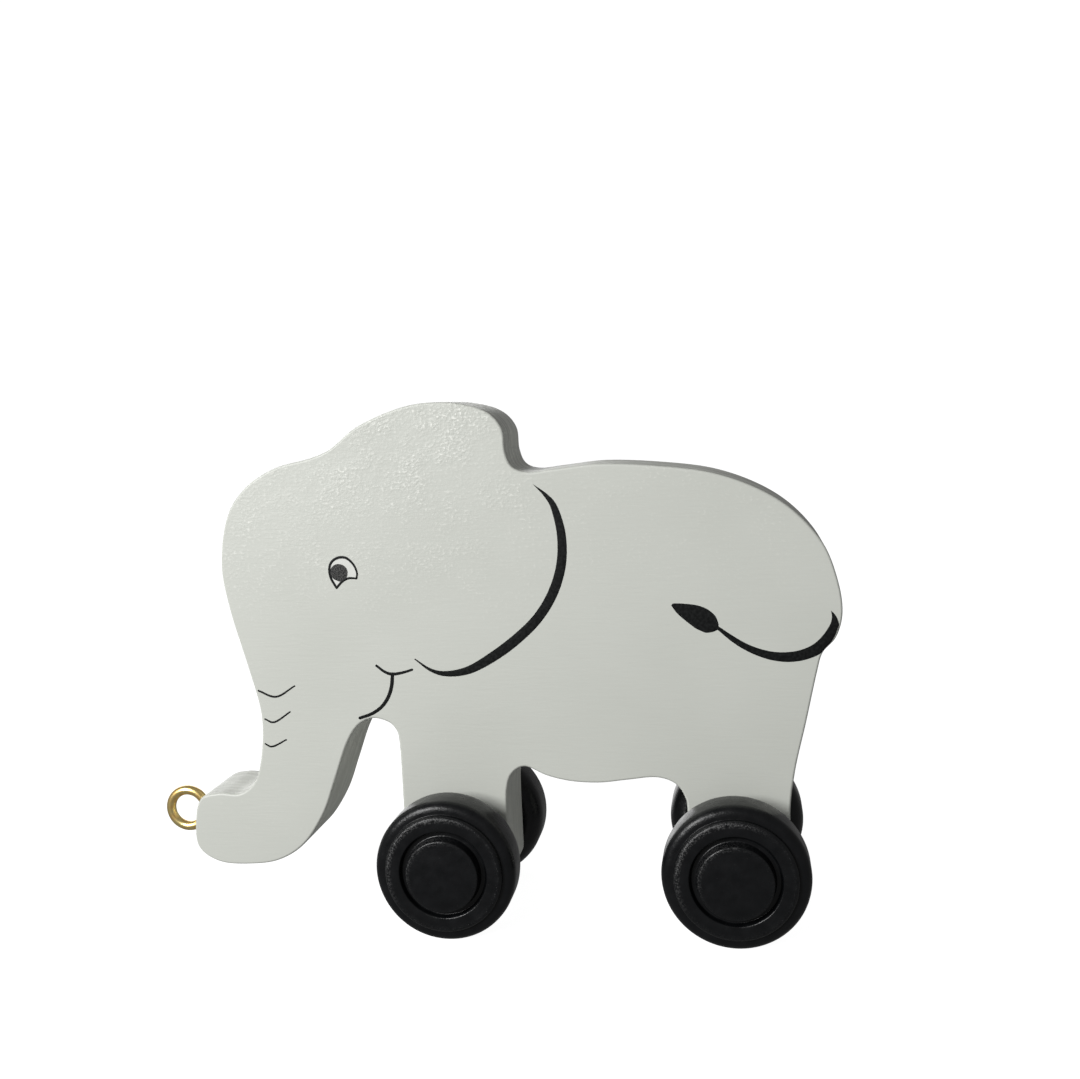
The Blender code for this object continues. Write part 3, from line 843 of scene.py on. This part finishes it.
def polished_brass():
    """Drawn brass wire, lightly scratched and a little tarnished."""
    brass = Surface("polished_brass", 0.3, metallic=1.0)
    tarnish = brass.noise(0.5, detail=3.0)
    scratches = brass.noise(5.0, detail=2.0)
    brass.colour(brass.mix(brass.spread(tarnish, 0.4, 0.75), (1.00, 0.82, 0.36), (0.88, 0.52, 0.16)))
    brass.roughness(brass.spread(tarnish, 0.35, 0.75, 0.28, 0.40))
    brass.bump(scratches, 0.01)
    return brass.material


# The studio -------------------------------------------------------------------------------------

def make_camera():
    """The toy's left side, seen from a little behind and above."""
    data = bpy.data.cameras.new("camera")
    data.sensor_width = SENSOR_WIDTH
    data.lens = CAMERA_LENS
    data.clip_start, data.clip_end = CLIP_NEAR_AND_FAR
    camera = new_object("camera", data)
    camera.matrix_world = (
        Matrix.Translation(Vector(CAMERA_PLACE) * MM)
        @ Matrix.Rotation(math.radians(CAMERA_YAW), 4, "Z")
        @ Matrix.Rotation(math.radians(90.0 - CAMERA_PITCH), 4, "X")
        @ Matrix.Rotation(math.radians(CAMERA_ROLL), 4, "Z")
    )
    bpy.context.scene.camera = camera


def make_light(name, direction, distance, width, watts):
    """A square soft box that looks at the middle of the toy."""
    data = bpy.data.lights.new(name, "AREA")
    data.size = width
    data.energy = watts
    light = new_object(name, data)
    target = Vector((0.0, 0.0, LIT_HEIGHT))
    away = Vector(direction).normalized()
    light.location = target + away * distance
    light.rotation_mode = "QUATERNION"
    light.rotation_quaternion = (-away).to_track_quat("-Z", "Y")


def make_world():
    """Even white light from all round."""
    world = bpy.data.worlds.new("soft_room")
    world.use_nodes = True
    background = world.node_tree.nodes["Background"]
    background.inputs["Color"].default_value = (1.0, 1.0, 1.0, 1.0)
    background.inputs["Strength"].default_value = AMBIENT
    bpy.context.scene.world = world
    bpy.context.scene.view_settings.view_transform = "Standard"


def make_floor():
    """A pale floor that curves up into a wall all round, so that every view has the same plain ground."""
    rim_centre = (FLOOR_RADIUS - FLOOR_RIM, FLOOR_RIM)
    rim = arc(rim_centre, FLOOR_RIM, -math.pi / 2, 0.0, FLOOR_RIM_STEPS)
    profile = [(0.0, 0.0), (rim_centre[0], 0.0)] + [tuple(point) for point in rim[1:]]
    mesh = mesh_from("studio_floor", lathe(profile))
    mesh.shade_smooth()
    material = bpy.data.materials.new("pale_floor")
    material.use_nodes = True
    shader = material.node_tree.nodes["Principled BSDF"]
    shader.inputs["Base Color"].default_value = (FLOOR_GREY, FLOOR_GREY, FLOOR_GREY, 1.0)
    shader.inputs["Roughness"].default_value = 0.9
    shader.inputs["Specular IOR Level"].default_value = 0.0
    shader.inputs["Emission Color"].default_value = (1.0, 1.0, 1.0, 1.0)
    shader.inputs["Emission Strength"].default_value = FLOOR_GLOW
    mesh.materials.append(material)
    floor = new_object("studio_floor", mesh)
    floor.visible_diffuse = False
    floor.visible_glossy = False
    floor.visible_shadow = False


def main():
    make_camera()
    make_world()
    make_light("key", *KEY_LIGHT)
    make_light("back", *BACK_LIGHT)
    make_floor()
    make_board(painted_board())
    line_paint = plain_paint(
        "black_line_paint", (0.0030, 0.0036, 0.0036), (0.0110, 0.0120, 0.0120), 0.45, 1.5, specular=0.2)
    pupil_paint = plain_paint(
        "pupil_paint", (0.012, 0.012, 0.012), (0.130, 0.130, 0.126), 0.5, 3.0, specular=0.2)
    white_paint = plain_paint("eye_white_paint", (0.69, 0.70, 0.66), (0.72, 0.73, 0.70), 0.45, 0.6)
    make_drawings(line_paint, pupil_paint, white_paint)
    wood = beech_wood()
    black = wheel_paint()
    make_wheelset("front", FRONT_AXLE_X, wood, black)
    make_wheelset("rear", REAR_AXLE_X, wood, black)
    make_screw_eye(polished_brass())


main()
